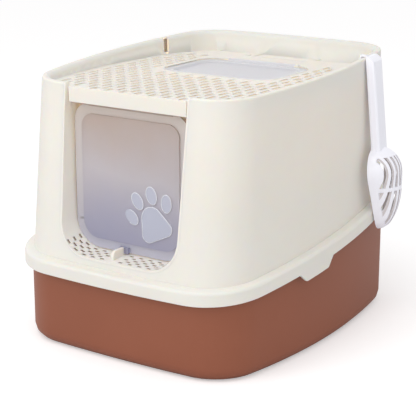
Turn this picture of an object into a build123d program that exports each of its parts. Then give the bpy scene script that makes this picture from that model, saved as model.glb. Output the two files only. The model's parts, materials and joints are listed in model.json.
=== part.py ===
from build123d import *
import math
import os

# Enclosed litter box: a pan, a hood that seats on it, a hinged slotted deck with a
# skylight hatch, a front flap door, a door latch and a scoop hooked on the rim.
# Millimetres, +Z up, front at -Y, origin on the floor under the middle of the flange.

# Plan of the box at the parting flange
width = 436
depth = 510
side_bow_radius = 920
end_bow_radius = 2200
corner_radius = 88

# Parting flange of the hood, sloping up to the rear
flange_front_z = 110
flange_back_z = 169
flange_height = 20
flange_ledge = 14
flange_round = 5
tab_length = 83
tab_foot_length = 55
tab_drop = 14
tab_setback = 194
tab_round = 6

# Hood wall and its rolled rim
hood_wall = 3
rim_front_z = 377
rim_back_z = 402
rim_side_inset = 22.5
rim_front_inset = 40
rim_back_inset = 21
rim_corner_radius = 66
rim_width = 12
rim_outer_round = 2.5
rim_inner_round = 7

# Pan
pan_wall = 3
pan_floor = 5
pan_inset = 11
pan_round = 18
pan_rim_reach = 6
pan_rim_depth = 4
foot_height = 2
foot_width = 14

# Doorway, its lined reveal and the perforated sill
door_clear_top = 206
door_clear_low = 196
sill_z = 141
sill_corner = 46
liner_wall = 2.5
liner_depth = 63
sill_rise = 4
hole_length = 7
hole_width = 4
hole_pitch = 16
hole_row_pitch = 6.5
hole_rows = 5
hole_edge = 6

# Slotted deck lid with its front lintel
deck_z = 370
deck_thickness = 3
deck_gap = 2
ledge_width = 6
ledge_thickness = 3.5
lintel_gap = 4.5
lintel_recess = 5
lintel_wall = 3
lintel_low_z = 353
lintel_lip = 4
slot_length = 23
slot_width = 6
slot_pitch_x = 12.4
slot_pitch_y = 31
deck_border = 7
deck_lintel_border = 2

# Rear hinge of the deck lid
hinge_inset = 60
hinge_drop = 7.2
knuckle_radius = 4.5
knuckle_length = 70
knuckle_middle_x = 92
ear_thickness = 6
ear_margin = 1.2
lid_pin_radius = 2.2
lid_swing_shift = 42

# Skylight hatch in the deck
hatch_width = 194
hatch_depth = 138
hatch_setback = 193
hatch_corner = 30
hatch_gap = 1
hatch_wall = 2.2
hatch_dish = 2.6
hatch_border = 13
hatch_seat = 5
hatch_frame = 8
hatch_frame_depth = 9
hatch_knuckle_radius = 3
hatch_knuckle_length = 120
hatch_pin_radius = 1.6
hatch_pin_reach = 5

# Front flap door
door_side_gap = 1.5
door_low_z = 147.5
door_axis_inset = 55
door_axis_z = 352
door_top_corner = 25
door_low_corner = 40
door_plate = 2.2
door_border = 14
door_raise = 3
door_bar_radius = 3.6
door_bar_inset = 26
trunnion_radius = 2.5
trunnion_end = 3
paw_raise = 1
paw_pad_x = 41
paw_pad_z = 197
paw_lean = 25
paw_pad_width = 52
paw_pad_height = 44
paw_toe_width = 17
paw_toe_height = 25

# Sliding stop of the door
latch_x = -12
latch_length = 24
latch_height = 14
latch_width = 4.5
latch_round = 9
latch_door_gap = 1.2
latch_foot_width = 10
latch_foot_height = 2.5
latch_throat = 1.2
catch_width = 16
catch_height = 8
catch_reach = 2

# Scoop
scoop_setback = 128
scoop_notch_width = 10.5
scoop_notch_edge = 1
scoop_notch_round = 2.5
scoop_notch_foot = 2
scoop_strap_width = 8
scoop_strap = 2
scoop_leg_wall = 2
scoop_leg = 14
scoop_tilt = 5.6
scoop_stand_off = 0.8
scoop_handle_width = 36
scoop_handle_depth = 14
scoop_handle_length = 136
scoop_handle_round = 4
scoop_handle_bevel = 8
scoop_handle_root = 14
scoop_bowl_radius = 36
scoop_tip_radius = 17
scoop_bowl_length = 122
scoop_bowl_depth = 38
scoop_bowl_turn = 78
scoop_wall = 2.2
scoop_slot_width = 5
scoop_slot_pitch = 10
scoop_slot_columns = 6
scoop_rib = 6

# Flat steps in each quarter round
round_steps = 3

# Clearances
running_gap = 0.08
slide_gap = 0.3
overrun = 20

# Shares of a piece's own size
pan_bevel_share = 0.6
scoop_slot_share = 0.45
scoop_rib_share = 0.5
paw_lobe_shares = ((-0.30, -0.26, 0.20), (0.30, -0.26, 0.20), (0.0, 0.16, 0.34))
paw_toe_shares = ((-0.62, 0.46, 24), (-0.25, 0.86, 8), (0.25, 0.86, -8), (0.62, 0.46, -24))

# Values that follow from the sizes above
front_y = -depth / 2
back_y = depth / 2
hinge_y = back_y - hinge_inset
door_axis_y = front_y + door_axis_inset
door_width = door_clear_low - 2 * door_side_gap
liner_back_y = front_y + liner_depth
tab_middle_y = front_y + tab_setback
hatch_middle_y = back_y - hatch_setback
scoop_y = back_y - scoop_setback
rim_middle_y = (rim_front_inset - rim_back_inset) / 2
scoop_bowl_z = -scoop_handle_length - scoop_bowl_radius
ledge_top_z = deck_z - deck_thickness
hinge_z = deck_z - hinge_drop
hatch_axis_y = hatch_middle_y + hatch_depth / 2 + hatch_knuckle_radius + hatch_gap
hatch_top_z = deck_z - hatch_gap
hatch_axis_z = hatch_top_z
scoop_rim_z = rim_front_z + (rim_back_z - rim_front_z) * (scoop_y - front_y) / depth


def between(z, base_z, top_z, base_inset, top_inset):
    """Inset of a leaning wall at height z, on a straight line between two heights."""
    return base_inset + (top_inset - base_inset) * (z - base_z) / (top_z - base_z)


def bowed_outline(half_x, half_y, side_radius, end_radius, corner):
    """A rounded rectangle whose four sides bow outwards."""
    side_centre = Vector(half_x - side_radius, 0)
    end_centre = Vector(0, half_y - end_radius)
    to_side = side_radius - corner
    to_end = end_radius - corner
    across = end_centre - side_centre
    span = across.length
    along = (to_side**2 - to_end**2 + span**2) / (2 * span)
    off = math.sqrt(to_side**2 - along**2)
    unit = across.normalized()
    corner_centre = side_centre + unit * along + Vector(-unit.Y, unit.X) * off
    if corner_centre.Y < 0:
        corner_centre = side_centre + unit * along - Vector(-unit.Y, unit.X) * off
    side_point = side_centre + (corner_centre - side_centre).normalized() * side_radius
    end_point = end_centre + (corner_centre - end_centre).normalized() * end_radius
    middle = (side_point + end_point) * 0.5 - corner_centre
    corner_point = corner_centre + middle.normalized() * corner

    def at(point, sign_x, sign_y):
        return (sign_x * point.X, sign_y * point.Y)

    edges = []
    for sign_x, sign_y in ((1, 1), (-1, 1), (-1, -1), (1, -1)):
        ends = [side_point, corner_point, end_point]
        turned = ends if sign_x * sign_y > 0 else ends[::-1]
        edges.append(ThreePointArc(*[at(point, sign_x, sign_y) for point in turned]))
        last = turned[-1]
        if turned[-1] is end_point:
            edges.append(
                ThreePointArc(at(last, sign_x, sign_y), (0, sign_y * half_y), at(last, -sign_x, sign_y))
            )
        else:
            edges.append(
                ThreePointArc(at(last, sign_x, sign_y), (sign_x * half_x, 0), at(last, sign_x, -sign_y))
            )
    return make_face(edges)


def plan(side_inset, front_inset, back_inset, corner, z):
    """The box's plan at height z, drawn in from the flange by the given insets."""
    end_inset = (front_inset + back_inset) / 2
    face = bowed_outline(
        width / 2 - side_inset,
        depth / 2 - end_inset,
        side_bow_radius - side_inset,
        end_bow_radius - end_inset,
        corner,
    )
    return Pos(0, (front_inset - back_inset) / 2, z) * face


def even_plan(inset, z):
    return plan(inset, inset, inset, corner_radius - inset, z)


def column(face, height):
    return extrude(face, amount=height, dir=(0, 0, 1))


def sloping(front_z, back_z, lift=0):
    """A plane that passes through the front and back edges of the plan at two heights."""
    rise = Vector(0, depth, back_z - front_z)
    return Plane(
        origin=(0, front_y, front_z + lift), x_dir=(1, 0, 0), z_dir=Vector(1, 0, 0).cross(rise)
    )


def below(solid, plane):
    return split(solid, bisect_by=plane, keep=Keep.BOTTOM)


def upright(y):
    """A drawing plane that looks along +Y, with its own up along +Z."""
    return Plane(origin=(0, y, 0), x_dir=(1, 0, 0), z_dir=(0, -1, 0))


def bar_x(radius, x_from, x_to, y, z):
    """A round bar along X."""
    ends = Plane(origin=(x_from, y, z), x_dir=(0, 1, 0), z_dir=(1, 0, 0))
    return extrude(ends * Circle(radius), amount=x_to - x_from)


def block(x_from, x_to, y_from, y_to, z_from, z_to):
    """A box between two corners."""
    size = (x_to - x_from, y_to - y_from, z_to - z_from)
    return Pos(x_from, y_from, z_from) * Box(*size, align=(Align.MIN, Align.MIN, Align.MIN))


def quarter_round(radius):
    """Steps of a quarter round: how far each is drawn in, and how far it lies below the top."""
    turns = [math.pi / 2 * step / round_steps for step in range(round_steps + 1)]
    return [(radius * (1 - math.cos(turn)), radius * (1 - math.sin(turn))) for turn in turns]


def lowered(plane, drop):
    return Plane(plane.origin - (0, 0, drop), plane.x_dir, plane.z_dir)


# Planes that the pan, the flange and the rim share
flange_low = sloping(flange_front_z, flange_back_z)
flange_top = sloping(flange_front_z, flange_back_z, flange_height)
rim_top = sloping(rim_front_z, rim_back_z)


def tilted_plan(side_inset, front_inset, back_inset, corner, plane):
    """The plan drawn on a sloping plane, stretched so that it stands above the level plan."""
    stretch = 1 / plane.z_dir.Z
    end_inset = (front_inset + back_inset) / 2
    middle_y = (front_inset - back_inset) / 2
    middle_z = plane.origin.Z - (middle_y - plane.origin.Y) * plane.z_dir.Y * stretch
    face = bowed_outline(
        width / 2 - side_inset,
        (depth / 2 - end_inset) * stretch,
        (side_bow_radius - side_inset) * stretch**2,
        end_bow_radius - end_inset,
        corner,
    )
    return (Plane((0, middle_y, middle_z), plane.x_dir, plane.z_dir) * face).face()


def flange_ring(inset, drop):
    """Outline of the flange, drawn in by an inset, on a plane below its top."""
    return tilted_plan(inset, inset, inset, corner_radius - inset, lowered(flange_top, drop))


def rim_ring(inset, drop):
    """Outline of the rim, drawn in by an inset, on a plane below its top."""
    return tilted_plan(
        rim_side_inset + inset,
        rim_front_inset + inset,
        rim_back_inset + inset,
        rim_corner_radius - inset,
        lowered(rim_top, drop),
    )


def hood_outside():
    """The leaning body of the hood, solid, from the flange to the rolled rim."""
    rolled = [rim_ring(inset, drop) for inset, drop in quarter_round(rim_outer_round)]
    return loft([flange_ring(flange_ledge, hood_wall)] + rolled, ruled=True)


def rim_plan(inset, z):
    """The rim's plan at height z, drawn in from its outer edge."""
    return plan(
        rim_side_inset + inset,
        rim_front_inset + inset,
        rim_back_inset + inset,
        rim_corner_radius - inset,
        z,
    )


def lid_plan(inset, z):
    """The lid's plan: its rear corners are drawn in so that they clear the rim as it swings."""
    face = rim_plan(rim_width + inset, z)
    return face & Pos(0, -lid_swing_shift, 0) * face


def doorway(wall):
    """The U of the doorway, grown by a wall, as a prism that rises slightly to the inside."""
    half_top = door_clear_top / 2 + wall
    half_low = door_clear_low / 2 + wall
    low_z = sill_z - wall
    top_z = rim_back_z + overrun
    half_high = between(top_z, sill_z, rim_front_z, half_low, half_top)
    points = [(-half_high, top_z), (-half_low, low_z), (half_low, low_z), (half_high, top_z)]
    face = make_face(Polyline(*points, close=True))
    corners = face.vertices().group_by(Axis.Y)[0]
    face = fillet(corners, sill_corner + wall)
    run = liner_back_y - front_y + overrun
    slope = Vector(0, liner_back_y - front_y, sill_rise)
    start = upright(front_y - overrun) * face
    return extrude(start, amount=run * slope.length / slope.Y, dir=slope.normalized())


def make_pan():
    foot = [even_plan(pan_inset + inset, drop).face() for inset, drop in reversed(quarter_round(pan_round))]
    outer = loft(foot + [flange_ring(pan_inset, hood_wall)], ruled=True)
    wall_inset = pan_inset + pan_wall
    bevel = (pan_round - pan_wall) * pan_bevel_share
    floor = even_plan(wall_inset + bevel, pan_floor).face()
    turn = even_plan(wall_inset, pan_floor + bevel).face()
    inner = loft([floor, turn, flange_ring(wall_inset, hood_wall - overrun)], ruled=True)
    roll_inset = pan_inset - pan_rim_reach
    roll = [flange_ring(roll_inset, hood_wall + pan_rim_depth), flange_ring(roll_inset, hood_wall)]
    hollow = column(even_plan(pan_inset + pan_round + foot_width, 0), foot_height)
    return outer + loft(roll, ruled=True) - inner - hollow


def tab_prism(side):
    """Side view of the grip tab that hangs from the flange, drawn out through one side."""
    low_z = between(tab_middle_y, front_y, back_y, flange_front_z, flange_back_z)
    slope = math.degrees(math.atan2(flange_back_z - flange_front_z, depth))
    half = tab_length / 2
    half_foot = tab_foot_length / 2
    points = [(-half, flange_height / 2), (-half, 0), (-half_foot, -tab_drop), (half_foot, -tab_drop)]
    points += [(half, 0), (half, flange_height / 2)]
    face = make_face(Polyline(*points, close=True))
    face = fillet([vertex for vertex in face.vertices() if vertex.Y < 0], tab_round)
    place = Plane(origin=(0, tab_middle_y, low_z), x_dir=(0, 1, 0), z_dir=(1, 0, 0))
    return extrude(place * Rot(0, 0, slope) * face, amount=side * width)


def make_flange():
    """The flange with its rolled top edge; below it only the two grip tabs are left."""
    rolled = [flange_ring(inset, drop) for inset, drop in quarter_round(flange_round)]
    flange = loft([flange_ring(0, flange_height + tab_drop + overrun)] + rolled, ruled=True)
    under = below(block(-width, width, -depth, depth, 0, rim_back_z), flange_low)
    return flange - (under - tab_prism(-1) - tab_prism(1))


def make_hood():
    seat_low = flange_ring(hood_wall, flange_height + tab_drop + 2 * overrun)
    seat = loft([seat_low, flange_ring(hood_wall, hood_wall)], ruled=True)
    cavity_low = flange_ring(flange_ledge + hood_wall, 2 * hood_wall)
    cavity = loft([cavity_low, rim_ring(hood_wall, hood_wall)], ruled=True)
    hood = hood_outside() + make_flange() - seat - cavity
    skirt_low_z = ledge_top_z - ledge_thickness
    skirt_inset = rim_width - hood_wall
    skirt_low = rim_plan(skirt_inset, skirt_low_z).face()
    hood = hood + loft([skirt_low, rim_ring(skirt_inset, rim_outer_round)], ruled=True)
    mouth = [rim_ring(rim_width - inset, drop) for inset, drop in quarter_round(rim_inner_round)]
    hood = hood - loft([rim_plan(rim_width, ledge_top_z).face()] + mouth, ruled=True)
    lid_hole = lid_plan(deck_gap + ledge_width, skirt_low_z - overrun)
    hood = hood - column(lid_hole, ledge_thickness + 2 * overrun)
    hood = hood - doorway(liner_wall)
    for side in (-1, 1):
        hood = hood - scoop_notch(side)
    return hood + lid_ears() - lid_pin_bores()


def scoop_notch(side):
    """The upright slot in the rim's inner skirt that takes the scoop's hook."""
    low_z = deck_z + scoop_notch_foot
    high_z = scoop_rim_z - scoop_notch_edge
    face = RectangleRounded(scoop_notch_width, high_z - low_z, scoop_notch_round)
    place = Plane(origin=(0, scoop_y, (low_z + high_z) / 2), x_dir=(0, 1, 0), z_dir=(1, 0, 0))
    reach = plan_side_x(scoop_y) - rim_width + hood_wall + scoop_notch_edge
    return extrude(place * face, amount=side * reach)


def knuckle_spans():
    """X ranges of the two hinge knuckles of the lid."""
    half = knuckle_length / 2
    return [(side * knuckle_middle_x - half, side * knuckle_middle_x + half) for side in (-1, 1)]


def lid_ears():
    """Hood lugs beside each lid knuckle, standing on the rear shelf."""
    radius = knuckle_radius + ear_margin
    rear_y = back_y - rim_back_inset - rim_width + hood_wall / 2
    low_z = ledge_top_z - ledge_thickness
    ears = None
    for x_from, x_to in knuckle_spans():
        for start in (x_from - slide_gap - ear_thickness, x_to + slide_gap):
            lug = block(start, start + ear_thickness, hinge_y - radius, rear_y, low_z, hinge_z + radius)
            ears = lug if ears is None else ears + lug
    return ears


def lid_pin_bores():
    """Bores for the two hinge pins, with a swing pocket for each knuckle."""
    cuts = None
    pocket = max(knuckle_radius, hinge_drop) + ear_margin
    for x_from, x_to in knuckle_spans():
        reach = slide_gap + ear_thickness
        radius = lid_pin_radius + running_gap
        bore = bar_x(radius, x_from - reach - overrun, x_to + reach + overrun, hinge_y, hinge_z)
        swing = block(
            x_from - slide_gap,
            x_to + slide_gap,
            hinge_y - lid_swing_shift,
            hinge_y + pocket,
            hinge_z - pocket - overrun,
            deck_z + overrun,
        )
        cuts = bore + swing if cuts is None else cuts + bore + swing
    return cuts


def make_liner():
    band = doorway(liner_wall) - doorway(0)
    band = band & hood_outside()
    band = band & block(-width, width, front_y, liner_back_y, 0, rim_back_z)
    skirt_y = front_y + rim_front_inset + rim_width
    top_z = ledge_top_z - slide_gap
    band = band - block(-width, width, skirt_y, 0, top_z, rim_back_z + overrun)
    slot_radius = trunnion_radius + running_gap
    cradle = bar_x(slot_radius, -width / 2, width / 2, door_axis_y, door_axis_z)
    throat = block(
        -width / 2, width / 2, door_axis_y - slot_radius, door_axis_y + slot_radius, door_axis_z, rim_back_z
    )
    return band - cradle - throat - sill_holes() - latch_slot()


def sill_top(y):
    """Height of the sill's upper face at a depth."""
    return sill_z + sill_rise * (y - front_y) / (liner_back_y - front_y)


def sill_holes():
    """Staggered drain holes that follow the sill up its round corners."""
    half_flat = door_clear_low / 2 - sill_corner
    first_y = door_axis_y - latch_door_gap - hole_edge - (hole_rows - 1) * hole_row_pitch
    count = int((half_flat + sill_corner) / hole_pitch)
    cutters = []
    for row in range(hole_rows):
        y = first_y + row * hole_row_pitch
        stagger = (row % 2) / 2
        for step in range(-count - 1, count + 1):
            along = (step + stagger + 1 / 4) * hole_pitch
            over = abs(along) - half_flat
            turn = max(over, 0) / sill_corner
            if turn > 1 or abs(along - latch_x) < latch_foot_width:
                continue
            x = math.copysign(min(abs(along), half_flat) + sill_corner * math.sin(turn), along)
            z = sill_top(y) + sill_corner * (1 - math.cos(turn))
            tip = math.degrees(math.copysign(turn, along))
            hole = Box(hole_length, hole_width, 4 * liner_wall)
            cutters.append(Pos(x, y, z) * Rot(0, -tip, 0) * hole)
    return cutters


def latch_span():
    """Front and rear of the latch fin."""
    rear = door_axis_y - door_plate / 2 - door_raise - catch_reach - latch_door_gap
    return rear - latch_length, rear


def latch_slot():
    front, rear = latch_span()
    half = latch_width / 2 + slide_gap
    return block(latch_x - half, latch_x + half, front - slide_gap, rear + slide_gap, 0, sill_z + overrun)


def make_latch():
    front, rear = latch_span()
    half = latch_width / 2
    low_z = sill_top(front) - liner_wall - latch_throat
    top_z = sill_top(front) + latch_height
    fin = block(latch_x - half, latch_x + half, front, rear, low_z, top_z)
    nose = fin.edges().filter_by(Axis.X).group_by(Axis.Z)[-1].sort_by(Axis.Y)[0]
    fin = fillet(nose, latch_round)
    foot_half = latch_foot_width / 2
    foot = block(
        latch_x - foot_half, latch_x + foot_half, front, rear, low_z - latch_foot_height, low_z
    )
    return fin + foot


def lintel_front():
    """Front face of the lintel, set back from the hood's front at deck height."""
    foot_z = flange_front_z + flange_height - hood_wall
    inset = between(deck_z, foot_z, rim_front_z - rim_outer_round, flange_ledge, rim_front_inset)
    return front_y + inset + lintel_recess


def make_lid():
    plate = column(lid_plan(deck_gap, ledge_top_z), deck_thickness)
    half = door_clear_top / 2 - lintel_gap
    front = lintel_front()
    tongue_back = front_y + rim_front_inset + rim_width + rim_corner_radius
    tongue = block(-half, half, front, tongue_back, ledge_top_z, deck_z)
    lintel = block(-half, half, front, front + lintel_wall, lintel_low_z, deck_z + lintel_lip)
    lid = plate + tongue + lintel
    frame = Pos(0, hatch_middle_y, deck_z) * hatch_outline(hatch_gap + hatch_frame)
    lid = lid + extrude(frame, amount=-hatch_frame_depth)
    well = Pos(0, hatch_middle_y, hatch_top_z - hatch_wall) * hatch_outline(hatch_gap)
    through = Pos(0, hatch_middle_y, 0) * hatch_outline(-hatch_seat)
    lid = lid - extrude(well, amount=overrun) - extrude(through, amount=deck_z + overrun)
    lid = lid + hatch_bearing() - hatch_bearing_cut()
    lid = lid - deck_slots()
    for x_from, x_to in knuckle_spans():
        lid = lid + bar_x(knuckle_radius, x_from, x_to, hinge_y, hinge_z)
        lid = lid + block(x_from, x_to, hinge_y - lid_swing_shift / 2, hinge_y, hinge_z, deck_z)
        lid = lid - bar_x(lid_pin_radius + running_gap, x_from, x_to, hinge_y, hinge_z)
    return lid


def hatch_outline(margin):
    """The hatch's outline, grown by a margin."""
    return RectangleRounded(hatch_width + 2 * margin, hatch_depth + 2 * margin, hatch_corner + margin)


def hatch_bearing():
    """The thickened bar of the lid behind the hatch, with a lug at each end of its hinge."""
    inner = hatch_knuckle_length / 2 + slide_gap
    outer = inner + hatch_pin_reach + hatch_gap
    half = outer + hatch_frame
    reach = hatch_knuckle_radius + hatch_gap + hatch_frame / 2
    bar = block(-half, half, hatch_axis_y - reach, hatch_axis_y + reach, deck_z - hatch_frame_depth, deck_z)
    bar = bar - extrude(Pos(0, hatch_middle_y, 0) * hatch_outline(hatch_gap), amount=deck_z + overrun)
    for x_from, x_to in ((-outer, -inner), (inner, outer)):
        bar = bar + bar_x(hatch_knuckle_radius + slide_gap, x_from, x_to, hatch_axis_y, hatch_axis_z)
    return bar


def hatch_bearing_cut():
    """The groove for the hatch's knuckle, and the bores for its pins."""
    half = hatch_knuckle_length / 2 + slide_gap
    reach = hatch_knuckle_radius + hatch_gap
    groove = block(
        -half, half, hatch_axis_y - reach - hatch_frame, hatch_axis_y + reach,
        hatch_axis_z - reach, deck_z + overrun,
    )
    pin_half = hatch_knuckle_length / 2 + hatch_pin_reach + slide_gap
    return groove + bar_x(hatch_pin_radius + running_gap, -pin_half, pin_half, hatch_axis_y, hatch_axis_z)


def deck_slots():
    """Staggered slots over the deck, clear of its border, the hatch frame and the hinges."""
    half_tongue = door_clear_top / 2 - lintel_gap - deck_border
    lintel_back = lintel_front() + lintel_wall + deck_lintel_border
    tongue = Pos(0, lintel_back) * Rectangle(2 * half_tongue, depth / 4, align=(Align.CENTER, Align.MIN))
    field = lid_plan(deck_gap + deck_border, 0) + tongue
    keep_out = hatch_gap + hatch_frame
    hatch_half_x = hatch_width / 2 + keep_out + slot_width / 2
    hatch_low = hatch_middle_y - hatch_depth / 2 - keep_out - slot_length / 2
    hatch_high = hatch_axis_y + hatch_knuckle_radius + keep_out + slot_length / 2
    web_y = hinge_y - lid_swing_shift / 2 - slot_length / 2
    columns = int(width / 2 / slot_pitch_x)
    rows = int(depth / 2 / slot_pitch_y) + 1
    cutters = []
    for across in range(-columns, columns + 1):
        x = across * slot_pitch_x
        for row in range(-rows, rows + 1):
            y = (row + (across % 2) / 2) * slot_pitch_y
            corners = [(x + slot_width / 2 * i, y + slot_length / 2 * j, 0) for i in (-1, 1) for j in (-1, 1)]
            over_hatch = abs(x) < hatch_half_x and hatch_low < y < hatch_high
            if over_hatch or y > web_y or not all(field.is_inside(corner) for corner in corners):
                continue
            cutters.append(Pos(x, y, deck_z) * Box(slot_width, slot_length, 4 * deck_thickness))
    return cutters


def make_lid_pins():
    pins = []
    for x_from, x_to in knuckle_spans():
        reach = slide_gap + ear_thickness
        pins.append(bar_x(lid_pin_radius, x_from - reach, x_to + reach, hinge_y, hinge_z))
    return Compound(children=pins)


def make_hatch():
    face = Pos(0, hatch_middle_y, hatch_top_z) * hatch_outline(0)
    plate = extrude(face, amount=-hatch_wall)
    dish_face = Pos(0, hatch_middle_y, hatch_top_z) * hatch_outline(-hatch_border)
    dish_floor = Pos(0, hatch_middle_y, hatch_top_z - hatch_dish) * hatch_outline(-hatch_border - hatch_dish)
    cup = extrude(dish_face, amount=-hatch_dish - hatch_wall)
    hollow = loft([dish_floor.face(), dish_face.face()], ruled=True)
    half = hatch_knuckle_length / 2
    knuckle = bar_x(hatch_knuckle_radius, -half, half, hatch_axis_y, hatch_axis_z)
    neck = block(
        -half, half, hatch_axis_y - hatch_knuckle_radius - hatch_corner / 2, hatch_axis_y,
        hatch_top_z - hatch_wall, hatch_top_z,
    )
    pin_half = half + hatch_pin_reach
    pin = bar_x(hatch_pin_radius, -pin_half, pin_half, hatch_axis_y, hatch_axis_z)
    return plate + cup - hollow + knuckle + neck + pin


def door_outline(inset):
    """The door's outline, with larger rounds at the foot."""
    half = door_width / 2 - inset
    low = door_low_z + inset
    high = door_axis_z - inset
    face = make_face(Polyline((-half, low), (half, low), (half, high), (-half, high), close=True))
    middle = (low + high) / 2
    face = fillet([v for v in face.vertices() if v.Y > middle], max(door_top_corner - inset / 2, inset))
    return fillet([v for v in face.vertices() if v.Y < middle], door_low_corner - inset)


def make_door():
    front = door_axis_y - door_plate / 2
    plate = extrude(upright(front) * door_outline(0), amount=-door_plate)
    panel = extrude(upright(front - door_raise) * door_outline(door_border), amount=-door_raise - door_plate)
    pocket = extrude(
        upright(front - door_raise + door_plate) * door_outline(door_border + door_plate), amount=-overrun
    )
    door = plate + panel - pocket
    bar_half = door_width / 2 - door_bar_inset
    door = door + bar_x(door_bar_radius, -bar_half, bar_half, door_axis_y, door_axis_z)
    pin_half = door_clear_top / 2 + liner_wall + trunnion_end
    door = door + bar_x(trunnion_radius, -pin_half, pin_half, door_axis_y, door_axis_z)
    paw_front = front - door_raise
    for shape in paw_print():
        door = door + extrude(upright(paw_front) * shape, amount=paw_raise)
    half = catch_width / 2
    catch = block(
        latch_x - half, latch_x + half, front - door_raise - catch_reach, front,
        door_low_z, door_low_z + catch_height,
    )
    return door + catch


def paw_print():
    """A pad of three merged lobes with four toes, leaning to one side."""
    place = Pos(paw_pad_x, paw_pad_z) * Rot(0, 0, paw_lean)
    lobes = [
        Pos(x * paw_pad_width, z * paw_pad_height) * Circle(radius * paw_pad_width)
        for x, z, radius in paw_lobe_shares
    ]
    pad = make_hull(Sketch(children=lobes).edges())
    shapes = [place * pad]
    for x, z, lean in paw_toe_shares:
        toe = Ellipse(paw_toe_width / 2, paw_toe_height / 2)
        shapes.append(place * Pos(x * paw_pad_width, z * paw_pad_height) * Rot(0, 0, lean) * toe)
    return shapes


def bowl_outline(scale, x):
    """Egg outline of the scoop's bowl on a plane of constant x, its tip hanging down."""
    tip_drop = scoop_bowl_length - scoop_bowl_radius - scoop_tip_radius
    broad = Circle(scoop_bowl_radius * scale)
    tip = Pos(0, -tip_drop * scale) * Circle(scoop_tip_radius * scale)
    hull = make_hull(Sketch(children=[broad, tip]).edges())
    return Plane(origin=(x, 0, scoop_bowl_z), x_dir=(0, 1, 0), z_dir=(1, 0, 0)) * hull


def bowl_dome(wall):
    """The bowl as a solid dome over its egg outline, drawn in by a wall."""
    drawn_in = 1 - wall / scoop_bowl_radius
    turns = [math.radians(scoop_bowl_turn * step / round_steps) for step in range(round_steps + 1)]
    rings = [
        bowl_outline(drawn_in * math.cos(turn), (scoop_bowl_depth - wall) * math.sin(turn)) for turn in turns
    ]
    return loft([ring.face() for ring in rings], ruled=True)


def scoop_slots():
    """Two rows of slots in the bowl's outer side, split by a cross rib."""
    top_z = -scoop_handle_length
    low_z = top_z - scoop_bowl_length
    rib_z = top_z - scoop_bowl_length * scoop_rib_share
    start_x = scoop_bowl_depth * scoop_slot_share
    cutters = []
    for step in range(scoop_slot_columns):
        left = (step - (scoop_slot_columns - 1) / 2) * scoop_slot_pitch - scoop_slot_width / 2
        right = left + scoop_slot_width
        for low, high in ((low_z, rib_z - scoop_rib / 2), (rib_z + scoop_rib / 2, top_z)):
            cutters.append(block(start_x, scoop_bowl_depth + overrun, left, right, low, high))
    return cutters


def make_scoop():
    half = scoop_handle_width / 2
    handle = block(0, scoop_handle_depth, -half, half, -scoop_handle_length - scoop_handle_root, 0)
    handle = fillet(handle.edges().filter_by(Axis.Z), scoop_handle_round)
    corner = [(scoop_handle_depth - scoop_handle_bevel, 0), (scoop_handle_depth, -scoop_handle_bevel)]
    corner = make_face(Polyline(*corner, (scoop_handle_depth, 0), close=True))
    side_on = Plane(origin=(0, half, 0), x_dir=(1, 0, 0), z_dir=(0, -1, 0))
    handle = handle - extrude(side_on * corner, amount=scoop_handle_width)
    body = handle + bowl_dome(0) - bowl_dome(scoop_wall) - scoop_slots()
    wall_x = plan_side_x(scoop_y)
    turn = math.degrees(math.asin((scoop_y - rim_middle_y) / (side_bow_radius - rim_side_inset)))
    strap_z = scoop_rim_z + slide_gap
    hang = Pos(wall_x + scoop_stand_off, scoop_y, strap_z + scoop_strap) * Rot(0, 0, turn)
    body = hang * Rot(0, -scoop_tilt, 0) * body
    strap_half = scoop_strap_width / 2
    inner_x = wall_x - rim_width
    strap = block(
        inner_x, wall_x + scoop_handle_depth / 2, scoop_y - strap_half, scoop_y + strap_half,
        strap_z, strap_z + scoop_strap,
    )
    leg = block(
        inner_x, inner_x + scoop_leg_wall, scoop_y - strap_half, scoop_y + strap_half,
        strap_z - scoop_leg, strap_z,
    )
    return body + strap + leg


def plan_side_x(y):
    """Outer face of the rim on the right side at depth y."""
    radius = side_bow_radius - rim_side_inset
    return width / 2 - rim_side_inset - radius + math.sqrt(radius**2 - (y - rim_middle_y) ** 2)


pieces = {
    "litter_pan": make_pan,
    "hood": make_hood,
    "entry_step": make_liner,
    "top_lid": make_lid,
    "lid_hinge_pins": make_lid_pins,
    "skylight_hatch": make_hatch,
    "front_door": make_door,
    "door_latch": make_latch,
    "scoop": make_scoop,
}

os.makedirs("parts", exist_ok=True)
for name, make in pieces.items():
    export_step(make(), f"parts/{name}.step")
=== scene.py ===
# %% [markdown]
# # A hooded litter box in Blender
#
# The box is a handful of large plastic mouldings: a brown pan, a cream hood that leans in
# towards the top, a slotted deck with a skylight, a frosted flap door and a white scoop
# that hangs on the rim. The engineering model gives their true shapes and joints. This
# lesson turns those shapes into good looking mouldings, gives each plastic its finish,
# and sets the camera and the light.

# %% Load the engineering model
import bmesh
import bpy
import json
import math
from mathutils import Matrix, Vector

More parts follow.
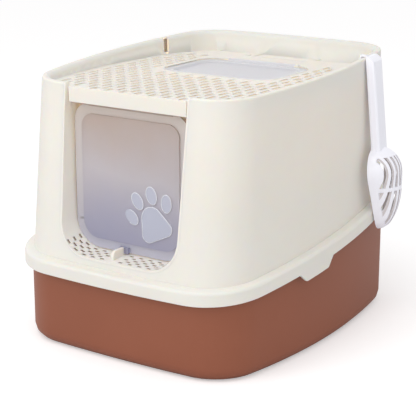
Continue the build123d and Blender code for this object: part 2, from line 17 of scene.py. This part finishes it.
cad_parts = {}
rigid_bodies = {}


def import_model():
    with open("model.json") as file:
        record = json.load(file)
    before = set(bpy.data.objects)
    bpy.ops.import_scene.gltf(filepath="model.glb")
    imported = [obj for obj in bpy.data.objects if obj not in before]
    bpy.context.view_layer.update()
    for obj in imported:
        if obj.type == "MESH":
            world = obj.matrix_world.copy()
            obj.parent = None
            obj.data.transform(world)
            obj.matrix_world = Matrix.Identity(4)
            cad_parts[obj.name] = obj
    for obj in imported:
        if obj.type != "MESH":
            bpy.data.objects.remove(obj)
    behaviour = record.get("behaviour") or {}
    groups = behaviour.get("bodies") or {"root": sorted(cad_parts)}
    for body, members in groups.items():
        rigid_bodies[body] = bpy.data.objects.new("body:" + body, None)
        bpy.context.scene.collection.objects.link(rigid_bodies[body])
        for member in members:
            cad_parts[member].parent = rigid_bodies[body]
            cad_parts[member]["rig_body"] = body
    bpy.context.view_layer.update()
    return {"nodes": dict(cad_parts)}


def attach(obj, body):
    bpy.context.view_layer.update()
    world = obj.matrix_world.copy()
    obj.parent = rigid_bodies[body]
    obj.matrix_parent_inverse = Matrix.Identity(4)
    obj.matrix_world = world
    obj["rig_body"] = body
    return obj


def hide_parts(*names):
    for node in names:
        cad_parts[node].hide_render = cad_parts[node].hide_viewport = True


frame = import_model()
print("nodes", sorted(frame["nodes"]))

# %% [markdown]
# ## Cream, brown and white mouldings
#
# Injection moulded polypropylene is never one even colour. The mould's spark-eroded skin
# leaves a grain of about half a millimetre, and the pigment clouds a little where the melt
# flowed. An image could carry this, but noise on Object coordinates has no seams and keeps
# its scale on every piece, so each plastic gets a cloud for the colour, the same cloud for
# the gloss, and a fine grain for the bump. Daylight soaks through the cream walls, so the
# sides of narrow slots and the lining of the doorway shine warmly. That light is painted in:
# warmer creams with a faint glow stand for it, and the scoop's white has a faint cool glow,
# painted light that makes it brighter. Two darker plastics are painted shade, for the sides
# of the drain holes and the inside of the scoop's bowl.


# %% A helper that wires nodes, and the moulded plastic
def add_node(tree, kind, **settings):
    """A shader or geometry node with its input sockets set by name."""
    node = tree.nodes.new(kind)
    for name, value in settings.items():
        node.inputs[name.replace("_", " ")].default_value = value
    return node


def moulded_plastic(name, deep, pale, gloss, grain_mm, grain_depth):
    """Opaque plastic between two tones, with a gloss range and a grain."""
    material = bpy.data.materials.new(name)
    material.use_nodes = True
    tree = material.node_tree
    shader = tree.nodes["Principled BSDF"]
    place = tree.nodes.new("ShaderNodeTexCoord")
    cloud = add_node(tree, "ShaderNodeTexNoise", Scale=7.0, Detail=4.0, Roughness=0.6)
    tone = tree.nodes.new("ShaderNodeMix")
    tone.data_type = "RGBA"
    tone.inputs["A"].default_value = (*deep, 1)
    tone.inputs["B"].default_value = (*pale, 1)
    sheen = add_node(tree, "ShaderNodeMapRange", To_Min=gloss[0], To_Max=gloss[1])
    grain = add_node(tree, "ShaderNodeTexNoise", Scale=1000 / grain_mm, Detail=2.0, Roughness=0.5)
    bump = add_node(tree, "ShaderNodeBump", Strength=grain_depth, Distance=0.0002)
    link = tree.links.new
    link(place.outputs["Object"], cloud.inputs["Vector"])
    link(place.outputs["Object"], grain.inputs["Vector"])
    link(cloud.outputs["Fac"], tone.inputs["Factor"])
    link(tone.outputs["Result"], shader.inputs["Base Color"])
    link(cloud.outputs["Fac"], sheen.inputs["Value"])
    link(sheen.outputs["Result"], shader.inputs["Roughness"])
    link(grain.outputs["Fac"], bump.inputs["Height"])
    link(bump.outputs["Normal"], shader.inputs["Normal"])
    return material


cream = moulded_plastic("cream_plastic", (0.83, 0.775, 0.70), (0.89, 0.845, 0.79), (0.38, 0.50), 0.6, 0.25)
brown = moulded_plastic("brown_plastic", (0.27, 0.086, 0.045), (0.32, 0.108, 0.060), (0.38, 0.52), 0.6, 0.3)
white = moulded_plastic("white_plastic", (0.90, 0.90, 0.98), (0.95, 0.95, 1.0), (0.25, 0.36), 0.8, 0.12)
# Painted light: the doorway lining and sill get a paler cream with a faint glow that brightens them.
reveal = moulded_plastic("reveal_cream_painted_glow", (0.85, 0.785, 0.70), (0.91, 0.855, 0.785), (0.38, 0.50), 0.6, 0.25)
# Painted light: a warm cream with a glow for the sides of the deck slots and the hook slot.
glow = moulded_plastic("painted_glow_cream", (0.90, 0.76, 0.58), (0.93, 0.80, 0.63), (0.45, 0.55), 0.6, 0.2)
# Painted shade: a dark cream for the sides of the drain holes in the sill.
shade = moulded_plastic("shaded_cream", (0.46, 0.34, 0.24), (0.52, 0.39, 0.28), (0.5, 0.6), 0.6, 0.2)
hollow = moulded_plastic("shaded_white", (0.70, 0.66, 0.66), (0.76, 0.72, 0.73), (0.4, 0.5), 0.8, 0.12)
pin = moulded_plastic("pin_plastic", (0.74, 0.70, 0.62), (0.80, 0.77, 0.70), (0.30, 0.42), 0.8, 0.12)
opaque = (cream, brown, white, reveal, glow, shade, hollow, pin)
print("opaque plastics", [material.name for material in opaque])


# %% Light that soaks through, faint glows and a duller brown
def set_shader(material, **settings):
    """Sets sockets of a material's shader by name."""
    shader = material.node_tree.nodes["Principled BSDF"]
    for name, value in settings.items():
        shader.inputs[name.replace("_", " ")].default_value = value


soak = dict(Subsurface_Weight=0.5, Subsurface_Radius=(1.0, 0.62, 0.36), Subsurface_Scale=0.008)
for thin_wall in (cream, reveal, glow):
    set_shader(thin_wall, **soak)
# Painted light: a faint cool glow that makes the scoop's white brighter; the scoop is no lamp.
set_shader(white, Emission_Color=(0.78, 0.85, 1.0, 1), Emission_Strength=0.08)
# Painted light: the warm glow on the slot sides, standing for daylight through the thin walls.
set_shader(glow, Emission_Color=(0.90, 0.72, 0.50, 1), Emission_Strength=0.33)
# Painted light: the faint glow that brightens the doorway lining and sill.
set_shader(reveal, Emission_Color=(0.95, 0.84, 0.70, 1), Emission_Strength=0.08)
set_shader(brown, Specular_IOR_Level=0.3)
print("glowing plastics", [material.name for material in (white, glow, reveal)])

# %% [markdown]
# ## Frosted plastic
#
# The flap door and the skylight are clear polypropylene with an etched skin. Light passes
# through, but shapes behind them blur into soft tones. A glass shader would be too clear and
# a grey paint would stay dead when the lid opens, so a rough transmission does the work: the
# etching is a fine noise on its roughness and its bump. A colour ramp up the height paints
# light and shade in as well: the door turns warm brown near its top, where the shaded inside
# shows through, and the skylight is darker towards its lower side.


# %% The frosted plastic
cloud_share = 0.3  # how far the cloud moves a tone along the ramp
haze_spread = 0.07


def frosted_plastic(name, tones, low_z, high_z, clear, haze):
    """Etched clear plastic whose tone drifts through three tones between two heights."""
    material = bpy.data.materials.new(name)
    material.use_nodes = True
    tree = material.node_tree
    shader = tree.nodes["Principled BSDF"]
    shader.inputs["Transmission Weight"].default_value = clear
    shader.inputs["IOR"].default_value = 1.4
    place = tree.nodes.new("ShaderNodeTexCoord")
    axes = tree.nodes.new("ShaderNodeSeparateXYZ")
    height = add_node(tree, "ShaderNodeMapRange", From_Min=low_z, From_Max=high_z)
    cloud = add_node(tree, "ShaderNodeTexNoise", Scale=11.0, Detail=3.0, Roughness=0.55)
    drift = tree.nodes.new("ShaderNodeMath")
    drift.operation = "MULTIPLY_ADD"
    drift.inputs[1].default_value = cloud_share
    drift.use_clamp = True
    centred = tree.nodes.new("ShaderNodeMath")
    centred.operation = "SUBTRACT"
    centred.inputs[1].default_value = cloud_share / 2
    ramp = tree.nodes.new("ShaderNodeValToRGB")
    ramp.color_ramp.elements.new(0.5)
    for stop, tone in zip(ramp.color_ramp.elements, tones):
        stop.color = (*tone, 1)
    etch = add_node(tree, "ShaderNodeTexNoise", Scale=1600.0, Detail=2.0, Roughness=0.5)
    sheen = add_node(tree, "ShaderNodeMapRange", To_Min=haze - haze_spread, To_Max=haze + haze_spread)
    bump = add_node(tree, "ShaderNodeBump", Strength=0.15, Distance=0.0001)
    link = tree.links.new
    link(place.outputs["Object"], axes.inputs["Vector"])
    link(place.outputs["Object"], cloud.inputs["Vector"])
    link(place.outputs["Object"], etch.inputs["Vector"])
    link(axes.outputs["Z"], height.inputs["Value"])
    link(height.outputs["Result"], centred.inputs[0])
    link(cloud.outputs["Fac"], drift.inputs[0])
    link(centred.outputs[0], drift.inputs[2])
    link(drift.outputs[0], ramp.inputs["Fac"])
    link(ramp.outputs["Color"], shader.inputs["Base Color"])
    link(etch.outputs["Fac"], sheen.inputs["Value"])
    link(sheen.outputs["Result"], shader.inputs["Roughness"])
    link(etch.outputs["Fac"], bump.inputs["Height"])
    link(bump.outputs["Normal"], shader.inputs["Normal"])
    return material


# Painted shade: the door's panel and band run from bluish low down to warm brown at the top, the shaded
# inside seen through; the skylight's tones are darker lower down.
door_tones = ((0.52, 0.53, 0.72), (0.78, 0.75, 0.80), (0.66, 0.54, 0.47))
paw_tones = ((0.49, 0.51, 0.63), (0.51, 0.53, 0.64), (0.53, 0.54, 0.64))
rim_tones = ((0.84, 0.86, 0.94), (0.86, 0.88, 0.95), (0.88, 0.89, 0.95))
edge_tones = ((0.74, 0.75, 0.88), (0.85, 0.83, 0.86), (0.82, 0.75, 0.70))
hatch_tones = ((0.86, 0.86, 0.92), (0.90, 0.90, 0.95), (0.94, 0.94, 0.98))
frosted_door = frosted_plastic("frosted_door", door_tones, 0.15, 0.36, 0.5, 0.45)
frosted_paw = frosted_plastic("frosted_paw", paw_tones, 0.15, 0.26, 0.1, 0.4)
frosted_rim = frosted_plastic("frosted_rim", rim_tones, 0.15, 0.26, 0.05, 0.35)
frosted_edge = frosted_plastic("frosted_edge", edge_tones, 0.15, 0.36, 0.4, 0.4)
frosted_hatch = frosted_plastic("frosted_hatch", hatch_tones, 0.362, 0.37, 0.38, 0.35)
frosted = (frosted_door, frosted_paw, frosted_rim, frosted_edge, frosted_hatch)
print("frosted plastics", [material.name for material in frosted])

# %% [markdown]
# ## From engineering solids to mouldings
#
# The engineering mesh arrives as loose triangles with hard facets. A copy is welded, its
# coplanar triangles are joined, and edges sharper than a limit stay crisp while the rest is
# shaded smooth, with normals that lean towards the large faces. Rebuilding each piece by hand
# would only drift away from the true sizes.


# %% Weld and smooth
weld_distance, flat_deg = 2e-6, 0.4


def finish_piece(mesh, node, material, crease=32):
    """Shades a mesh and lets it take a node's place."""
    for face in mesh.polygons:
        face.use_smooth = True
    mesh.set_sharp_from_angle(angle=math.radians(crease))
    mesh.materials.clear()
    mesh.materials.append(material)
    piece = bpy.data.objects.new(node + "_moulding", mesh)
    bpy.context.scene.collection.objects.link(piece)
    even = piece.modifiers.new("even_normals", "WEIGHTED_NORMAL")
    even.keep_sharp = True
    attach(piece, frame["nodes"][node]["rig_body"])
    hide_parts(node)
    print(node, "faces", len(mesh.polygons))
    return piece


def welded(node):
    """A working copy of a node's mesh, with its loose triangles joined."""
    work = bmesh.new()
    work.from_mesh(frame["nodes"][node].data)
    bmesh.ops.remove_doubles(work, verts=work.verts, dist=weld_distance)
    bmesh.ops.dissolve_limit(work, angle_limit=math.radians(flat_deg), verts=work.verts, edges=work.edges)
    return work


def to_mesh(work, name):
    """Turns a working copy into a mesh and frees it."""
    mesh = bpy.data.meshes.new(name)
    work.to_mesh(mesh)
    work.free()
    return mesh


def moulding(node, material):
    """The smooth copy of a node."""
    return finish_piece(to_mesh(welded(node), node + "_moulding"), node, material)


moulding("litter_pan", brown)
hood_piece = moulding("hood", cream)
step_piece = moulding("entry_step", reveal)
lid_piece = moulding("top_lid", cream)
moulding("lid_hinge_pins", pin)
moulding("skylight_hatch", frosted_hatch)
door_piece = moulding("front_door", frosted_door)
moulding("door_latch", cream)

# %% [markdown]
# ## The scoop's bowl
#
# The engineering bowl is a dome in three broad steps, which shows as facets on its outline. The
# hook and the handle are kept as they are, cut off above the bowl, and a finer dome takes the
# bowl's place: rings of an egg outline, drawn in along a circle. Boolean cuts hollow it and
# open its slots, so the pieces meet cleanly.

# %% Measures of the scoop, in metres
hang = Matrix.Translation((0.18858, 0.127, 0.39803))
hang = hang @ Matrix.Rotation(math.radians(7.523), 4, "Z") @ Matrix.Rotation(math.radians(-5.6), 4, "Y")
handle_cut_z = -0.1335
handle_root = 0.018
bowl_z = -0.171
bowl_radius, tip_radius, tip_drop = 0.0375, 0.018, 0.071
bowl_depth, bowl_wall = 0.039, 0.0022
bowl_rings, bowl_turn = 14, 82
slot_columns, slot_pitch, slot_width = 8, 0.0080, 0.0047
slot_start, slot_top = 0.012, 0.023
cross_rib, rib_z = 0.0055, -0.196
top_points, tip_points, side_points = 28, 18, 12
print("scoop", slot_columns, "columns of slots,", bowl_rings, "rings")


# %% Dome, cutters and handle
def arc(radius, drop, start, end, count):
    """Points along a circle whose middle is lowered by a drop."""
    angles = [start + (end - start) * step / count for step in range(count + 1)]
    return [(radius * math.cos(angle), radius * math.sin(angle) - drop) for angle in angles]


def straight(start, end, count):
    """Points between two ends, without the ends."""
    shares = [step / count for step in range(1, count)]
    return [(start[0] + (end[0] - start[0]) * k, start[1] + (end[1] - start[1]) * k) for k in shares]


def egg(scale):
    """Points of the egg outline: an arc round the top, a narrower one round the tip, and tangents."""
    lean = math.asin((bowl_radius - tip_radius) / tip_drop)
    top = arc(bowl_radius, 0, -lean, math.pi + lean, top_points)
    tip = arc(tip_radius, tip_drop, math.pi + lean, 2 * math.pi - lean, tip_points)
    left, right = straight(top[-1], tip[0], side_points), straight(tip[-1], top[0], side_points)
    loop = top + left + tip + right
    return [(y * scale, z * scale) for y, z in loop]


def dome(wall):
    """A closed dome over the egg outline, drawn in by a wall; the hollow one starts a little early."""
    work = bmesh.new()
    rings = []
    for step in range(bowl_rings + 1):
        turn = math.radians(bowl_turn * step / bowl_rings)
        scale = math.cos(turn) * (1 - wall / bowl_radius)
        x = (bowl_depth - wall) * math.sin(turn) - (wall if step == 0 else 0)
        rings.append([work.verts.new((x, y, bowl_z + z)) for y, z in egg(scale)])
    for low, high in zip(rings, rings[1:]):
        for i in range(len(low)):
            j = (i + 1) % len(low)
            work.faces.new((low[i], low[j], high[j], high[i]))
    work.faces.new(rings[-1])
    work.faces.new(rings[0][::-1])
    return work


def slot_cutters():
    """Upright boxes in columns, with a gap for the cross rib."""
    work = bmesh.new()
    top_z = bowl_z + slot_top
    low_z = bowl_z - tip_drop - tip_radius
    for column in range(slot_columns):
        y = (column - (slot_columns - 1) / 2) * slot_pitch
        for z_from, z_to in ((low_z, rib_z - cross_rib / 2), (rib_z + cross_rib / 2, top_z)):
            size = Matrix.Diagonal((bowl_depth, slot_width, z_to - z_from, 1))
            middle = Matrix.Translation((slot_start + bowl_depth / 2, y, (z_from + z_to) / 2))
            bmesh.ops.create_cube(work, size=1, matrix=middle @ size)
    return work


def handle_solid():
    """Hook and handle of the engineering scoop, drawn out into the bowl."""
    work = welded("scoop")
    bmesh.ops.transform(work, matrix=hang.inverted(), verts=work.verts)
    everything = list(work.verts) + list(work.edges) + list(work.faces)
    bmesh.ops.bisect_plane(
        work, geom=everything, plane_co=(0, 0, handle_cut_z), plane_no=(0, 0, 1), clear_inner=True
    )
    rim = [edge for edge in work.edges if edge.is_boundary]
    drawn = bmesh.ops.extrude_edge_only(work, edges=rim)["geom"]
    lowered = [part for part in drawn if isinstance(part, bmesh.types.BMVert)]
    bmesh.ops.translate(work, vec=(0, 0, -handle_root), verts=lowered)
    bmesh.ops.holes_fill(work, edges=[edge for edge in work.edges if edge.is_boundary])
    return work


# %% The smooth scoop
def stand_in(work, name):
    """A short-lived object for the Boolean cuts."""
    bmesh.ops.recalc_face_normals(work, faces=work.faces)
    thing = bpy.data.objects.new(name, to_mesh(work, name))
    bpy.context.scene.collection.objects.link(thing)
    return thing


scoop_body = stand_in(handle_solid(), "scoop_handle")
tools = []
for name, work, operation in (
    ("bowl_outside", dome(0), "UNION"),
    ("bowl_inside", dome(bowl_wall), "DIFFERENCE"),
    ("bowl_slots", slot_cutters(), "DIFFERENCE"),
):
    tools.append(stand_in(work, name))
    cut = scoop_body.modifiers.new(name, "BOOLEAN")
    cut.object = tools[-1]
    cut.operation = operation
    cut.solver = "EXACT"
shaped = scoop_body.evaluated_get(bpy.context.evaluated_depsgraph_get())
scoop_mesh = bpy.data.meshes.new_from_object(shaped)
for thing in (scoop_body, *tools):
    bpy.data.objects.remove(thing)
scoop_mesh.transform(hang)
scoop_piece = finish_piece(scoop_mesh, "scoop", white, 40)

# %% [markdown]
# ## The paw print and the door's edge
#
# The raised paw on the door is left unetched on the real moulding, so it looks paler than the
# panel around it, and so does the thin band round the panel. Both are picked out by how far
# forward their faces stand, without any drawing: above the catch, the paw stands nearest to the
# front, and the band lies behind the panel. They get paler finishes as further materials of the
# same piece.

# %% Paler paw and edge band
door_mesh = door_piece.data
door_mesh.materials.append(frosted_paw)
door_mesh.materials.append(frosted_edge)
paw_low_z = 0.16
paw_front = min(vertex.co.y for vertex in door_mesh.vertices if vertex.co.z > paw_low_z)
paw_play, band_depth, band_facing = 0.0001, 0.0035, -0.9
counts = [0, 0, 0]
for face in door_mesh.polygons:
    points = [door_mesh.vertices[index].co for index in face.vertices]
    foremost = min(point.y for point in points)
    if foremost < paw_front + paw_play and min(point.z for point in points) > paw_low_z:
        face.material_index = 1
    elif foremost > paw_front + band_depth and face.normal.y < band_facing:
        face.material_index = 2
    counts[face.material_index] += 1
print("panel, paw and band faces", counts, "front of the paw at", round(paw_front, 4))

# %% [markdown]
# ## Sides of slots and holes
#
# The sides of the deck slots and of the free hook slot in the rim get painted light, a warm
# glow for the daylight that shines through them, and those of the drain holes in the sill get
# painted shade, dark because the litter pan lies below them. All are faces that stand upright
# in the thickness of a wall, so their place and direction pick them out. On the sill, upright
# means away from its surface, which curls up at both sides.


# %% Paint light and shade on the sides of slots and holes
sill_half_flat, sill_round_z = 0.052, 0.187
upright_limit = 0.3


def level_up(point):
    """Direction away from a level wall, the same at every point."""
    return Vector((0, 0, 1))


def sill_up(point):
    """Direction away from the sill: straight up in the middle, inwards along its round sides."""
    middle_x = math.copysign(min(abs(point.x), sill_half_flat), point.x)
    return Vector((middle_x - point.x, 0, sill_round_z - point.z)).normalized()


def paint_light_and_shade_on_sides(piece, finish, up_at, largest_mm2, low_mm, high_mm):
    """Gives the small faces inside a box that stand upright on their surface another material: painted
    light where it glows, painted shade where it is dark.
    """
    piece.data.materials.append(finish)
    chosen = 0
    for face in piece.data.polygons:
        spans = zip(low_mm, face.center, high_mm)
        inside = all(low < part * 1000 < high for low, part, high in spans)
        small = face.area * 1e6 < largest_mm2
        if inside and small and abs(face.normal.dot(up_at(face.center))) < upright_limit:
            face.material_index = len(piece.data.materials) - 1
            chosen += 1
    print(piece.name, finish.name, "faces", chosen)


deck_slots_mm = (-172, -222, 366.5), (172, 180, 370.5)
hook_slot_mm = (-187, 121, 371), (-160, 134, 396)
drain_holes_mm = (-99, -238, 136), (99, -203.2, 190)
# Painted light on the sides of the deck slots and the hook slot, painted shade on the drain holes' sides.
paint_light_and_shade_on_sides(lid_piece, glow, level_up, 90, *deck_slots_mm)
paint_light_and_shade_on_sides(hood_piece, glow, level_up, 400, *hook_slot_mm)
paint_light_and_shade_on_sides(step_piece, shade, sill_up, 20, *drain_holes_mm)

# %% [markdown]
# The inside of the scoop's bowl lies in its own shade, close to the wall, so its slots read as
# darker lines. In the scoop's own frame the inside faces look towards the bowl's long axis, and
# the sides of the slots look straight across or along it.

# %% Shade inside the scoop's bowl
inside_by, square_to = 0.005, 0.97
to_bowl = hang.inverted()
shaded = 0
scoop_mesh.materials.append(hollow)
for face in scoop_mesh.polygons:
    spot, way = to_bowl @ face.center, to_bowl.to_3x3() @ face.normal
    axis = Vector((0, 0, min(max(spot.z, bowl_z - tip_drop), bowl_z)))
    inward = spot.z < bowl_z + bowl_radius and way.dot(spot - axis) < -inside_by
    squared = max(abs(way.y), abs(way.z)) > square_to
    slot_side = squared and spot.x > slot_start and spot.z < handle_cut_z
    if inward or slot_side:
        face.material_index = 1
        shaded += 1
print("shaded faces of the scoop", shaded, "of", len(scoop_mesh.polygons))

# %% [markdown]
# ## Rounded lips round slots and holes
#
# A moulded slot never has a knife edge. Each slot of the deck, each drain hole of the sill, each
# slot of the scoop and the outline of the paw has a small rounded lip. There are hundreds, and
# all follow an edge that is already there, so one Geometry Nodes tree makes them: it picks the
# sharp edges inside a box, turns them into curves, rounds the corners and sweeps a small circle
# along them.


# %% The lip tree
def lip_tree():
    """The tree that sweeps a bead along the sharp edges inside a box."""
    tree = bpy.data.node_groups.new("slot_lips", "GeometryNodeTree")
    panel = tree.interface
    panel.new_socket("Geometry", in_out="INPUT", socket_type="NodeSocketGeometry")
    for name, kind in (
        ("Lowest corner", "NodeSocketVector"),
        ("Highest corner", "NodeSocketVector"),
        ("Lip radius", "NodeSocketFloat"),
        ("Corner radius", "NodeSocketFloat"),
        ("Sharper than", "NodeSocketFloat"),
        ("Finish", "NodeSocketMaterial"),
    ):
        panel.new_socket(name, in_out="INPUT", socket_type=kind)
    panel.new_socket("Geometry", in_out="OUTPUT", socket_type="NodeSocketGeometry")
    given = tree.nodes.new("NodeGroupInput")
    result = tree.nodes.new("NodeGroupOutput")
    link = tree.links.new
    edge = tree.nodes.new("GeometryNodeInputMeshEdgeAngle")
    sharp = tree.nodes.new("FunctionNodeCompare")
    sharp.operation = "GREATER_THAN"
    link(edge.outputs["Unsigned Angle"], sharp.inputs["A"])
    link(given.outputs["Sharper than"], sharp.inputs["B"])
    place = tree.nodes.new("GeometryNodeInputPosition")
    chosen = sharp.outputs["Result"]
    for corner, operation in (("Lowest corner", "GREATER_THAN"), ("Highest corner", "LESS_THAN")):
        here = tree.nodes.new("ShaderNodeSeparateXYZ")
        limit = tree.nodes.new("ShaderNodeSeparateXYZ")
        link(place.outputs["Position"], here.inputs["Vector"])
        link(given.outputs[corner], limit.inputs["Vector"])
        for axis in "XYZ":
            inside = tree.nodes.new("FunctionNodeCompare")
            inside.operation = operation
            both = tree.nodes.new("FunctionNodeBooleanMath")
            both.operation = "AND"
            link(here.outputs[axis], inside.inputs["A"])
            link(limit.outputs[axis], inside.inputs["B"])
            link(chosen, both.inputs[0])
            link(inside.outputs["Result"], both.inputs[1])
            chosen = both.outputs["Boolean"]
    line = tree.nodes.new("GeometryNodeMeshToCurve")
    rounded = tree.nodes.new("GeometryNodeFilletCurve")
    rounded.mode = "POLY"
    rounded.inputs["Count"].default_value = 3
    rounded.inputs["Limit Radius"].default_value = True
    bead = tree.nodes.new("GeometryNodeCurvePrimitiveCircle")
    bead.inputs["Resolution"].default_value = 6
    sweep = tree.nodes.new("GeometryNodeCurveToMesh")
    sweep.inputs["Fill Caps"].default_value = True
    real = tree.nodes.new("GeometryNodeRealizeInstances")
    coat = tree.nodes.new("GeometryNodeSetMaterial")
    link(given.outputs["Geometry"], line.inputs["Mesh"])
    link(chosen, line.inputs["Selection"])
    link(line.outputs["Curve"], rounded.inputs["Curve"])
    link(given.outputs["Corner radius"], rounded.inputs["Radius"])
    link(given.outputs["Lip radius"], bead.inputs["Radius"])
    link(rounded.outputs["Curve"], sweep.inputs["Curve"])
    link(bead.outputs["Curve"], sweep.inputs["Profile Curve"])
    link(sweep.outputs["Mesh"], real.inputs["Geometry"])
    link(real.outputs["Geometry"], coat.inputs["Geometry"])
    link(given.outputs["Finish"], coat.inputs["Material"])
    link(coat.outputs["Geometry"], result.inputs["Geometry"])
    return tree


lips = lip_tree()
print("lip tree nodes", len(lips.nodes))


# %% Lips of the deck, the sill, the paw and the scoop
def add_lips(name, piece, body, slot, finish, low_mm, high_mm, lip_mm, corner_mm, sharp_deg):
    """Sweeps lips along a moulding's sharp edges inside a box, as a plain mesh on a body."""
    source = bpy.data.objects.new(name + "_source", piece.data.copy())
    bpy.context.scene.collection.objects.link(source)
    modifier = source.modifiers.new("lips", "NODES")
    modifier.node_group = lips
    given = [item for item in lips.interface.items_tree if item.in_out == "INPUT"]
    sockets = {item.name: item.identifier for item in given}
    modifier[sockets["Lowest corner"]] = [part / 1000 for part in low_mm]
    modifier[sockets["Highest corner"]] = [part / 1000 for part in high_mm]
    modifier[sockets["Lip radius"]] = lip_mm / 1000
    modifier[sockets["Corner radius"]] = corner_mm / 1000
    modifier[sockets["Sharper than"]] = math.radians(sharp_deg)
    modifier[sockets["Finish"]] = finish
    done = source.evaluated_get(bpy.context.evaluated_depsgraph_get())
    mesh = bpy.data.meshes.new_from_object(done)
    bpy.data.objects.remove(source)
    for face in mesh.polygons:
        face.use_smooth = True
    result = bpy.data.objects.new(name, mesh)
    bpy.context.scene.collection.objects.link(result)
    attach(result, body)
    print(name, "faces", len(mesh.polygons), [material.name for material in mesh.materials])


deck_top_mm = (-175, -225, 369.9), (175, 182, 370.1)
sill_mm = (-99, -241, 138), (99, -203.2, 190)
paw_mm = (0, -205.3, 160), (95, -204.9, 265)
bowl_mm = (190, 80, 120), (260, 180, 258)
add_lips("deck_lips", lid_piece, "lid", "cream_plastic", cream, *deck_top_mm, 0.7, 1.6, 60)
add_lips("sill_lips", step_piece, "hood_body", "cream_plastic", reveal, *sill_mm, 0.25, 1.0, 60)
add_lips("paw_lips", door_piece, "door", "clear_plastic", frosted_rim, *paw_mm, 0.6, 0.1, 60)
add_lips("scoop_lips", scoop_piece, "scoop_body", "white_plastic", white, *bowl_mm, 0.25, 0.6, 55)

# %% [markdown]
# ## The camera
#
# The picture was taken a good two metres away with a short telephoto view, from the front
# right and a little above. The values come from matching the flange, the rim and the pan
# corners in the picture.

# %% Camera
azimuth, elevation = math.radians(33.77), math.radians(14.82)
turn, dip = math.radians(0.227), math.radians(0.641)
stand_off, middle = 1.962, Vector((0, 0, 0.19))
sensor_mm, focal_pixels, picture_pixels = 36, 1307, 416


def direction(around, above):
    """Unit vector towards a place round the box and above it, from the front."""
    level = math.cos(above)
    return Vector((math.sin(around) * level, -math.cos(around) * level, math.sin(above)))


camera_data = bpy.data.cameras.new("camera")
camera_data.sensor_width = sensor_mm
camera_data.lens = sensor_mm * focal_pixels / picture_pixels
camera = bpy.data.objects.new("camera", camera_data)
bpy.context.scene.collection.objects.link(camera)
camera.location = middle + stand_off * direction(azimuth, elevation)
backward = direction(azimuth + turn, elevation + dip)
camera.rotation_euler = backward.to_track_quat("Z", "Y").to_euler()
bpy.context.scene.camera = camera
print("camera at", [round(v, 3) for v in camera.location], "lens", round(camera_data.lens, 1))

# %% [markdown]
# ## Floor and light
#
# A product picture stands on seamless white. The floor is matt and pale, with a little glow
# that only the camera sees, so it reads as white while the soft shadow under the pan stays.
# A large soft lamp from the front left models the walls; the even sky does the rest. A weak
# warm lamp inside the box stands for the daylight that soaks through its cream walls.

# %% Floor
half, camera_glow = 9, 0.37
corners = [(-half, -half, 0), (half, -half, 0), (half, half, 0), (-half, half, 0)]
floor_mesh = bpy.data.meshes.new("floor")
floor_mesh.from_pydata(corners, [], [(0, 1, 2, 3)])
floor = bpy.data.objects.new("floor", floor_mesh)
bpy.context.scene.collection.objects.link(floor)
floor_paint = bpy.data.materials.new("studio_floor")
floor_paint.use_nodes = True
paint = floor_paint.node_tree
paint.nodes.remove(paint.nodes["Principled BSDF"])
matt = add_node(paint, "ShaderNodeBsdfDiffuse", Color=(0.84, 0.84, 0.85, 1))
shine = add_node(paint, "ShaderNodeEmission", Color=(1, 1, 1, 1))
seen = paint.nodes.new("ShaderNodeLightPath")
share = paint.nodes.new("ShaderNodeMath")
share.operation = "MULTIPLY"
share.inputs[1].default_value = camera_glow
both = paint.nodes.new("ShaderNodeAddShader")
paint.links.new(seen.outputs["Is Camera Ray"], share.inputs[0])
paint.links.new(share.outputs[0], shine.inputs["Strength"])
paint.links.new(matt.outputs[0], both.inputs[0])
paint.links.new(shine.outputs[0], both.inputs[1])
paint.links.new(both.outputs[0], paint.nodes["Material Output"].inputs["Surface"])
floor_mesh.materials.append(floor_paint)
print("floor", 2 * half, "metres across")

# %% Sky: plain white to the eye and in reflections, a little dimmer as light
world = bpy.data.worlds.new("studio")
bpy.context.scene.world = world
world.use_nodes = True
sky = world.node_tree
sky.nodes.clear()
soft = add_node(sky, "ShaderNodeBackground", Color=(1.0, 0.99, 0.98, 1), Strength=0.72)
blank = add_node(sky, "ShaderNodeBackground", Color=(1, 1, 1, 1), Strength=1.0)
path = sky.nodes.new("ShaderNodeLightPath")
add_gloss = sky.nodes.new("ShaderNodeMath")
add_glass = sky.nodes.new("ShaderNodeMath")
add_glass.use_clamp = True
pick = sky.nodes.new("ShaderNodeMixShader")
out = sky.nodes.new("ShaderNodeOutputWorld")
sky.links.new(path.outputs["Is Camera Ray"], add_gloss.inputs[0])
sky.links.new(path.outputs["Is Glossy Ray"], add_gloss.inputs[1])
sky.links.new(add_gloss.outputs[0], add_glass.inputs[0])
sky.links.new(path.outputs["Is Transmission Ray"], add_glass.inputs[1])
sky.links.new(add_glass.outputs[0], pick.inputs["Fac"])
sky.links.new(soft.outputs[0], pick.inputs[1])
sky.links.new(blank.outputs[0], pick.inputs[2])
sky.links.new(pick.outputs[0], out.inputs["Surface"])
print("sky strength", soft.inputs["Strength"].default_value)


# %% Lamps
def soft_lamp(name, place, aim, across, power):
    """A round area lamp that looks at a point."""
    data = bpy.data.lights.new(name, "AREA")
    data.shape = "DISK"
    data.size = across
    data.energy = power
    lamp = bpy.data.objects.new(name, data)
    lamp.location = place
    lamp.rotation_euler = (Vector(place) - Vector(aim)).to_track_quat("Z", "Y").to_euler()
    bpy.context.scene.collection.objects.link(lamp)
    return lamp


soft_lamp("key_lamp", (-1.0, -2.0, 1.5), (0, 0, 0.2), 1.5, 9)
soft_lamp("fill_lamp", (0.9, -2.0, 1.0), (0, 0, 0.2), 1.6, 6)
soft_lamp("top_lamp", (0.1, -0.9, 2.1), (0, -0.1, 0.25), 1.2, 8.5)
cabin_lamp = soft_lamp("cabin_lamp", (0, 0.02, 0.22), (0, 0.02, 0.4), 0.2, 0.25)
cabin_lamp.data.color = (1.0, 0.82, 0.6)
cabin_lamp.visible_glossy = False
cabin_lamp.visible_transmission = False
cabin_lamp.visible_camera = False
bpy.context.scene.view_settings.view_transform = "Standard"
